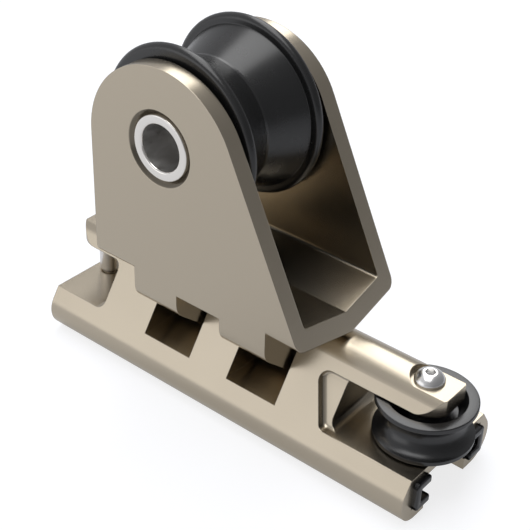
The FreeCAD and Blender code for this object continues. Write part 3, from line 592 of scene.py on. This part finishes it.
@dataclass
class Picture:
    """Camera at the photograph's viewing angle, pale floor and soft studio light."""

    # Where the camera stands, in degrees, and where its axis passes the origin.
    azimuth: float = 38.4008
    elevation: float = 33.6291
    roll: float = 2.0972
    aside: float = 2.7769 * MM
    above: float = 41.0111 * MM
    distance: float = 425.740 * MM
    lens: float = 85.088
    sensor: float = 36.0
    near_limit: float = 10 * MM
    far_limit: float = 100.0
    # The floor's own light, as the camera sees it and as metal mirrors it near and far.
    floor_size: float = 2.6
    floor_tint: str = "97999f"
    floor_seen: float = 0.78
    floor_mirrored: float = 0.52
    floor_dim: float = 0.2
    floor_fade: float = 0.5
    # The room's even light falls off from its bright end to its dim end.
    cool: str = "fafbff"
    dim_end: Triple = (0.966, 0.259, 0.0)
    bright_level: float = 0.62
    dim_level: float = 0.2

    def camera_axes(self) -> tuple[Vector, Vector, Vector]:
        """Work out the camera's axes.

        Returns:
            The camera's right, up and backward directions.
        """
        turn = math.radians(self.azimuth)
        lift = math.radians(self.elevation)
        lean = math.radians(self.roll)
        back = Vector((
            math.sin(turn) * math.cos(lift), -math.cos(turn) * math.cos(lift), math.sin(lift),
        ))
        level = (-back).cross(Vector((0, 0, 1))).normalized()
        upright = level.cross(-back)
        right = level * math.cos(lean) + upright * math.sin(lean)
        up = upright * math.cos(lean) - level * math.sin(lean)
        return right, up, back

    def place_camera(self) -> None:
        """Put the camera where the photograph was taken from."""
        right, up, back = self.camera_axes()
        spot = right * self.aside + up * self.above + back * self.distance
        data = bpy.data.cameras.new("camera")
        data.sensor_width = self.sensor
        data.lens = self.lens
        data.clip_start = self.near_limit
        data.clip_end = self.far_limit
        camera = bpy.data.objects.new("camera", data)
        bpy.context.scene.collection.objects.link(camera)
        turned = Matrix((right, up, back)).transposed().to_4x4()
        camera.matrix_world = Matrix.Translation(spot) @ turned
        bpy.context.scene.camera = camera

    @staticmethod
    def seen_share(tree: bpy.types.NodeTree, paths: bpy.types.Node) -> bpy.types.NodeSocket:
        """Tell what the camera sees, straight or through something clear, from the rest.

        Args:
            tree: the node tree.
            paths: its light path node.

        Returns:
            1 for such a ray and 0 for any other.
        """
        return add_node(tree, "ShaderNodeMath", {"operation": "MAXIMUM"}, {
            0: paths.outputs["Is Camera Ray"], 1: paths.outputs["Is Transmission Ray"],
        }).outputs["Value"]

    def towards_dim_end(
        self, tree: bpy.types.NodeTree, coordinates: str,
    ) -> bpy.types.NodeSocket:
        """Measure how far towards the dim end a place or a direction lies.

        Args:
            tree: the node tree.
            coordinates: the texture coordinates to measure in.

        Returns:
            The distance along the dim end's direction.
        """
        where = add_node(tree, "ShaderNodeTexCoord").outputs[coordinates]
        return add_node(tree, "ShaderNodeVectorMath", {
            "operation": "DOT_PRODUCT", 1: self.dim_end,
        }, {0: where}).outputs["Value"]

    def light_room(self) -> None:
        """Give the room its even light, which falls off towards its dim end."""
        world = bpy.data.worlds.new("studio")
        bpy.context.scene.world = world
        world.use_nodes = True
        tree = world.node_tree
        tree.nodes.clear()
        paths = add_node(tree, "ShaderNodeLightPath")
        level = add_node(tree, "ShaderNodeMapRange", {
            "interpolation_type": "SMOOTHSTEP", "From Min": -1.0, "From Max": 1.0,
            "To Min": self.bright_level, "To Max": self.dim_level,
        }, {"Value": self.towards_dim_end(tree, "Generated")})
        even = add_node(tree, "ShaderNodeBackground", {"Color": linear(self.cool)}, {
            "Strength": level.outputs["Result"],
        })
        white = add_node(tree, "ShaderNodeBackground", {"Color": WHITE, "Strength": 1.0})
        mixed = add_node(tree, "ShaderNodeMixShader", links={
            0: self.seen_share(tree, paths), 1: even.outputs["Background"],
            2: white.outputs["Background"],
        })
        add_node(tree, "ShaderNodeOutputWorld", links={"Surface": mixed.outputs["Shader"]})

    def lay_floor(self) -> None:
        """Lay the pale floor, which metal and the camera see paler than its shade."""
        bpy.ops.object.select_all(action="DESELECT")
        bpy.ops.mesh.primitive_plane_add(size=self.floor_size, location=(0, 0, 0))
        floor = bpy.context.active_object
        floor.name = "floor"
        material, tree = new_material("pale studio floor")
        paths = add_node(tree, "ShaderNodeLightPath")
        paper = add_node(tree, "ShaderNodeBsdfDiffuse", {"Color": linear(self.floor_tint)})
        level = add_node(tree, "ShaderNodeMapRange", {
            "From Min": -self.floor_fade, "From Max": self.floor_fade,
            "To Min": self.floor_mirrored, "To Max": self.floor_dim,
        }, {"Value": self.towards_dim_end(tree, "Object")})
        mirrored = add_node(tree, "ShaderNodeMath", {"operation": "MULTIPLY"}, {
            0: paths.outputs["Is Glossy Ray"], 1: level.outputs["Result"],
        })
        shown = add_node(tree, "ShaderNodeMath", {
            "operation": "MULTIPLY_ADD", 1: self.floor_seen,
        }, {0: self.seen_share(tree, paths), 2: mirrored.outputs["Value"]})
        glow = add_node(tree, "ShaderNodeEmission", {"Color": WHITE}, {
            "Strength": shown.outputs["Value"],
        })
        both = add_node(tree, "ShaderNodeAddShader", links={
            0: paper.outputs["BSDF"], 1: glow.outputs["Emission"],
        })
        add_node(tree, "ShaderNodeOutputMaterial", links={"Surface": both.outputs["Shader"]})
        floor.data.materials.append(material)

    def build(self) -> None:
        """Set up the whole picture."""
        bpy.context.scene.view_settings.view_transform = "Standard"
        self.place_camera()
        self.light_room()
        Softbox(
            "overhead", place=(-0.55, 0.81, 1.3), back=(0, 0, 1), turn=25.2,
            width=0.79, length=3.18, radiance=2.4,
        ).hang()
        Softbox(
            "front", place=(-0.37, -0.76, 0.23), back=(-0.44, -0.9, 0.0), turn=0,
            width=0.75, length=0.44, radiance=0.62,
        ).hang()
        self.lay_floor()
        LOG.info("picture set")


# The car's sub-assemblies


@dataclass
class Slider:
    """The slider with its wear strips, becket pin, hinge pin and towing screw."""

    metal: bpy.types.Material
    bearing: bpy.types.Material
    # The wear strips' C section.
    strip_spine: float = 2.35 * MM
    strip_flange: float = 2.65 * MM
    strip_round: float = 1.3 * MM
    strip_tip_round: float = 0.8 * MM
    strip_inner_round: float = 0.4 * MM
    strip_end_round: float = 0.6 * MM
    strip_end_steps: int = 3
    strip_smooth_below: float = 40.0
    # The becket pin and its neck.
    becket_neck_radius: float = 2.4 * MM
    becket_neck: float = 3.15 * MM
    becket_shoulder: float = 0.15 * MM
    becket_edge: float = 0.4 * MM
    # The towing screw's button head, shank and hexagon socket.
    head_height: float = 2.95 * MM
    head_rim: float = 0.65 * MM
    head_dome: float = 3.7 * MM
    head_seat_round: float = 0.1 * MM
    dome_steps: int = 12
    crown_radius: float = 2.15 * MM
    shank_radius: float = 2.5 * MM
    shank_tip_round: float = 0.3 * MM
    socket_flats: float = 3.1 * MM
    socket_lip: float = 0.15 * MM
    socket_depth: float = 1.6 * MM
    socket_sides: int = 6
    round_steps: int = 96
    smooth_below: float = 35.0

    def make_strips(self, finish: bpy.types.Material) -> None:
        """Model the near wear strip and turn a copy of it round for the far side.

        Args:
            finish: their material.
        """
        near = self.model_strip("track_strip_near", "wear_strip_near")
        bpy.ops.object.select_all(action="DESELECT")
        near.select_set(True)
        bpy.context.view_layer.objects.active = near
        bpy.ops.object.duplicate(linked=False)
        far = bpy.context.active_object
        far.name = "track_strip_far"
        far.data.name = far.name
        between = (middle_of("wear_strip_near") + middle_of("wear_strip_far")) / 2
        bpy.ops.object.mode_set(mode="EDIT")
        bpy.ops.mesh.select_all(action="SELECT")
        bpy.ops.transform.rotate(value=math.pi, orient_axis="Z", center_override=between)
        bpy.ops.object.mode_set(mode="OBJECT")
        stand_in(near, "slider", "wear_strip_near", finish)
        stand_in(far, "slider", "wear_strip_far", finish)

    def model_strip(self, name: str, node: str) -> bpy.types.Object:
        """Model a wear strip: a C section with rounded corners, drawn along the track.

        Args:
            name: the new piece's name.
            node: the CAD node that it stands for, on the near side.

        Returns:
            The finished strip.
        """
        low, high = (Vector(corner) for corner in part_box(node))
        outer, tip = low.y, high.y
        inner = outer + self.strip_spine
        lower = low.z + self.strip_flange
        upper = high.z - self.strip_flange
        section = soften([
            Corner(outer, low.z, self.strip_round), Corner(outer, high.z, self.strip_round),
            Corner(tip, high.z, self.strip_tip_round), Corner(tip, upper, self.strip_tip_round),
            Corner(inner, upper, self.strip_inner_round),
            Corner(inner, lower, self.strip_inner_round),
            Corner(tip, lower, self.strip_tip_round), Corner(tip, low.z, self.strip_tip_round),
        ], True)
        piece = draw_wire(name, [Vector((low.x, across, up)) for across, up in section], True)
        bpy.ops.mesh.edge_face_add()
        bpy.ops.mesh.extrude_region_move(
            TRANSFORM_OT_translate={"value": (high.x - low.x, 0, 0)}
        )
        self.select_edges(piece, lambda place: min(place.x - low.x, high.x - place.x) < WELD)
        bpy.ops.mesh.bevel(
            offset=self.strip_end_round, segments=self.strip_end_steps, affect="EDGES",
        )
        close_up(piece, self.strip_smooth_below)
        return piece

    @staticmethod
    def select_edges(piece: bpy.types.Object, chosen: Callable[[Vector], bool]) -> None:
        """Select the edges of a piece in edit mode whose ends both pass a test.

        Args:
            piece: the piece in edit mode.
            chosen: a test of one place.
        """
        bpy.ops.mesh.select_all(action="DESELECT")
        bpy.ops.mesh.select_mode(type="EDGE")
        bpy.ops.object.mode_set(mode="OBJECT")
        places = [vertex.co for vertex in piece.data.vertices]
        for edge in piece.data.edges:
            edge.select = all(chosen(places[end]) for end in edge.vertices)
        bpy.ops.object.mode_set(mode="EDIT")

    def make_becket_pin(self, finish: bpy.types.Material) -> None:
        """Turn the becket pin, with its neck in the notch floor."""
        size = size_of("becket_pin")
        radius = size.x / 2
        half = size.z / 2
        shoulder = self.becket_neck - half
        piece = turn_piece("return_line_pin", [
            Corner(0, -half), Corner(self.becket_neck_radius, -half),
            Corner(self.becket_neck_radius, shoulder),
            Corner(radius, shoulder, self.becket_shoulder),
            Corner(radius, half, self.becket_edge), Corner(0, half),
        ], Axis.UP, middle_of("becket_pin"), closed=False, steps=self.round_steps)
        close_up(piece, self.smooth_below)
        stand_in(piece, "slider", "becket_pin", finish)

    def dome(self, head: float, seat: float, half: float) -> list[Corner]:
        """Lay out the screw head's dome: an arc from its rim to its crown.

        Args:
            head: the head's radius.
            seat: the height of the head's seat.
            half: the height of its crown.

        Returns:
            The dome's places from the rim inwards.
        """
        rim = Vector((head, seat + self.head_rim))
        crown = Vector((self.crown_radius, half))
        chord = crown - rim
        middle = (rim + crown) / 2
        sideways = Vector((-chord.y, chord.x)).normalized()
        centre = middle + sideways * math.sqrt(self.head_dome ** 2 - (chord.length / 2) ** 2)
        first = (rim - centre).angle_signed(Vector((1, 0)))
        last = (crown - centre).angle_signed(Vector((1, 0)))
        dome = []
        for step in range(self.dome_steps + 1):
            angle = first + (last - first) * step / self.dome_steps
            dome.append(Corner(
                centre.x + self.head_dome * math.cos(angle),
                centre.y + self.head_dome * math.sin(angle),
            ))
        return dome

    def make_tow_screw(self, finish: bpy.types.Material) -> None:
        """Turn the button head screw, then sink a hexagon socket in its crown."""
        size = size_of("tow_screw")
        head = size.x / 2
        half = size.z / 2
        seat = half - self.head_height
        socket = self.socket_flats / math.sqrt(3)
        ring = socket + self.socket_lip
        piece = turn_piece("towing_screw", [
            Corner(0, -half), Corner(self.shank_radius, -half, self.shank_tip_round),
            Corner(self.shank_radius, seat), Corner(head, seat, self.head_seat_round),
            *self.dome(head, seat, half), Corner(ring, half),
        ], Axis.UP, middle_of("tow_screw"), closed=False, steps=self.round_steps)
        top = middle_of("tow_screw") + Vector((0, 0, half))
        bpy.ops.mesh.select_all(action="DESELECT")
        bpy.ops.mesh.primitive_circle_add(
            vertices=self.socket_sides, radius=socket, fill_type="NOTHING", location=top,
        )
        cuts = self.round_steps // self.socket_sides - 1
        bpy.ops.mesh.subdivide(number_cuts=cuts)
        self.select_edges(piece, lambda place: (
            abs(place.z - top.z) < WELD and (place - top).length < ring + WELD
        ))
        bpy.ops.mesh.bridge_edge_loops()
        flats = self.socket_flats / 2
        self.select_edges(piece, lambda place: (
            abs(place.z - top.z) < WELD and (place - top).length < socket + WELD
            and (place - top).length > flats - WELD
        ))
        bpy.ops.mesh.extrude_edges_move(
            TRANSFORM_OT_translate={"value": (0, 0, -self.socket_depth)}
        )
        bpy.ops.mesh.edge_face_add()
        close_up(piece, self.smooth_below)
        stand_in(piece, "slider", "tow_screw", finish)

    def build(self) -> None:
        """Model and dress the slider's pieces."""
        dress("slider_body", self.metal)
        self.make_strips(BlackSkin(
            "moulded black acetal strip", tint="101011", dusty_tint="1a1a1a",
            roughness=0.13, sheen_level=0.9,
        ).make())
        self.make_becket_pin(StainlessSteel(
            "ground stainless steel pin", tint="f2efec", roughness=0.3, axis=Axis.UP,
            centre=tuple(middle_of("becket_pin")), streaks=True,
        ).make())
        hidden = StainlessSteel(
            "ground stainless steel hinge pin", tint="b0aeaa", roughness=0.22,
            axis=Axis.ALONG, centre=tuple(middle_of("hinge_pin")),
        ).make()
        for node in ("hinge_pin", "hinge_set_screw", "tow_sleeve"):
            dress(node, hidden)
        self.make_tow_screw(StainlessSteel(
            "polished stainless steel screw", tint="f1f0ee", roughness=0.24, axis=Axis.UP,
            centre=tuple(middle_of("tow_screw")), mark_strength=0.001, roughness_spread=0.01,
        ).make())
        for node in ("hinge_washer_rear", "hinge_washer_front", "tow_washer_upper",
                     "tow_washer_lower"):
            dress(node, self.bearing)
        LOG.info("slider built")


@dataclass
class SheaveBox:
    """The bracket that tilts on the hinge, with its bushes, side washers and hollow axle."""

    metal: bpy.types.Material
    bearing: bpy.types.Material
    bore_radius: float = 7.55 * MM
    inner_round: float = 0.8 * MM
    outer_round: float = 0.5 * MM
    round_steps: int = 128
    smooth_below: float = 35.0

    def make_axle(self) -> None:
        """Turn the hollow axle: polished ends and a honed bore."""
        size = size_of("axle_tube")
        radius = size.x / 2
        half = size.y / 2
        centre = middle_of("axle_tube")
        piece = turn_piece("hollow_axle", [
            Corner(self.bore_radius, -half, self.inner_round),
            Corner(radius, -half, self.outer_round), Corner(radius, half, self.outer_round),
            Corner(self.bore_radius, half, self.inner_round),
        ], Axis.ACROSS, centre, steps=self.round_steps)
        close_up(piece, self.smooth_below)
        stand_in(piece, "sheave_box", "axle_tube", StainlessSteel(
            "polished stainless steel axle", tint="f3efe9", roughness=0.16,
            axis=Axis.ACROSS, centre=tuple(centre), mark_strength=0.02,
        ).make())
        # The bore's wall lies along one ring, so its marks show as soft patches of shine.
        piece.data.materials.append(StainlessSteel(
            "honed stainless steel bore", tint="d2d0cd", roughness=0.32, axis=Axis.ACROSS,
            centre=tuple(centre), mark_pitch=0.8 * MM, mark_strength=0.15,
            roughness_spread=0.5,
        ).make())
        for face in piece.data.polygons:
            arm = face.center - centre
            if math.hypot(arm.x, arm.z) < self.bore_radius + WELD:
                face.material_index = 1

    def build(self) -> None:
        """Model and dress the sheave box's pieces."""
        dress("sheave_bracket", self.metal)
        self.make_axle()
        for node in ("hinge_bush_rear", "hinge_bush_front", "side_washer_near",
                     "side_washer_far"):
            dress(node, self.bearing)
        LOG.info("sheave box built")


@dataclass
class SheetSheave:
    """The big sheave for the sheet: beaded lips, cone flanks and a narrow throat."""

    bearing: bpy.types.Material
    lip_inset: float = 0.7 * MM
    bead_width: float = 3.5 * MM
    bead_round: float = 1.7 * MM
    bead_foot_round: float = 0.35 * MM
    cone_radius: float = 26.7 * MM
    throat_radius: float = 21.4 * MM
    throat_width: float = 1.0 * MM
    hub_radius: float = 17.0 * MM
    bore_radius: float = 12.87 * MM
    edge_round: float = 0.2 * MM
    round_steps: int = 144
    smooth_below: float = 30.0

    def half_section(self, radius: float, hub: float) -> list[Corner]:
        """Lay out one side of the sheave, from its throat to its bore.

        Args:
            radius: the lips' outer radius.
            hub: half the hub's length.

        Returns:
            The corners on the axis' positive side.
        """
        side = hub - self.lip_inset
        foot = side - self.bead_width
        return [
            Corner(self.throat_radius, self.throat_width / 2, self.edge_round),
            Corner(self.cone_radius, foot, self.bead_foot_round),
            Corner(radius, foot, self.bead_round), Corner(radius, side, self.bead_round),
            Corner(self.hub_radius, side), Corner(self.hub_radius, hub, self.edge_round),
            Corner(self.bore_radius, hub, self.edge_round),
        ]

    def build(self) -> None:
        """Turn and dress the sheave and dress its bush."""
        size = size_of("main_sheave")
        centre = middle_of("main_sheave")
        side = self.half_section(size.x / 2, size.y / 2)
        other = [
            Corner(corner.across, -corner.along, corner.rounding) for corner in reversed(side)
        ]
        piece = turn_piece(
            "sheet_line_sheave", side + other, Axis.ACROSS, centre, steps=self.round_steps,
        )
        close_up(piece, self.smooth_below)
        stand_in(piece, "sheet_sheave", "main_sheave", BlackSkin(
            "hard anodised black aluminium", tint="1b1b1b", dusty_tint="222221",
            roughness=0.27, sheen_level=0.75, turned_about=Axis.ACROSS, centre=tuple(centre),
        ).make())
        dress("main_bush", self.bearing)
        LOG.info("sheet sheave built")


@dataclass
class TowingSheave:
    """The small sheave for the towing line: round groove, flat lips and recessed web."""

    bearing: bpy.types.Material
    lip: float = 1.5 * MM
    lip_round: float = 0.35 * MM
    groove_depth: float = 4.4 * MM
    recess_radius: float = 12.4 * MM
    web_radius: float = 9.8 * MM
    half_web: float = 2.325 * MM
    hub_radius: float = 6.9 * MM
    bore_radius: float = 5.77 * MM
    edge_round: float = 0.2 * MM
    groove_steps: int = 24
    round_steps: int = 128
    smooth_below: float = 30.0

    def groove(self, radius: float, half: float) -> list[Corner]:
        """Lay out the round groove between the lips.

        Args:
            radius: the sheave's outer radius.
            half: half the groove's width at that radius.

        Returns:
            The groove's places from its lower lip to its upper one.
        """
        arc = (half ** 2 + self.groove_depth ** 2) / (2 * self.groove_depth)
        reach = math.asin(half / arc)
        centre = radius - self.groove_depth + arc
        return [
            Corner(centre - arc * math.cos(angle), arc * math.sin(angle))
            for angle in (
                reach * (2 * step / self.groove_steps - 1)
                for step in range(self.groove_steps + 1)
            )
        ]

    def build(self) -> None:
        """Turn and dress the sheave and dress its bush."""
        size = size_of("tow_sheave")
        centre = middle_of("tow_sheave")
        radius = size.x / 2
        half = size.z / 2
        piece = turn_piece("towing_line_sheave", [
            *self.groove(radius, half - self.lip),
            Corner(radius, half, self.lip_round),
            Corner(self.recess_radius, half, self.edge_round),
            Corner(self.web_radius, self.half_web),
            Corner(self.hub_radius, self.half_web),
            Corner(self.hub_radius, half, self.edge_round),
            Corner(self.bore_radius, half), Corner(self.bore_radius, -half),
            Corner(self.hub_radius, -half, self.edge_round),
            Corner(self.hub_radius, -self.half_web),
            Corner(self.web_radius, -self.half_web),
            Corner(self.recess_radius, -half, self.edge_round),
            Corner(radius, -half, self.lip_round),
        ], Axis.UP, centre, steps=self.round_steps)
        close_up(piece, self.smooth_below)
        stand_in(piece, "towing_sheave", "tow_sheave", BlackSkin(
            "turned black acetal", tint="1a1a1b", dusty_tint="242424", roughness=0.26,
            sheen_level=0.8, turned_about=Axis.UP, centre=tuple(centre),
        ).make())
        dress("tow_bush", self.bearing)
        LOG.info("towing sheave built")


def main() -> None:
    """Build the picture and every sub-assembly."""
    logging.basicConfig(level=logging.INFO, format="%(name)s: %(message)s")
    Picture().build()
    extrusion = AnodisedAluminium(
        "anodised aluminium extrusion", hollow_reach=14 * MM, hollow_shade=0.66,
        hollow_full=1.0,
    ).make()
    milled = AnodisedAluminium(
        "anodised aluminium bracket", hollow_reach=50 * MM, hollow_shade=0.33,
        hollow_full=0.5, mouth=tuple(middle_of("axle_tube")), mouth_radius=12.5 * MM,
    ).make()
    bearing = BlackSkin(
        "black bearing plastic", tint="151515", dusty_tint="1e1e1e", roughness=0.4,
    ).make()
    Slider(extrusion, bearing).build()
    SheaveBox(milled, bearing).build()
    SheetSheave(bearing).build()
    TowingSheave(bearing).build()


if __name__ == "__main__":
    main()
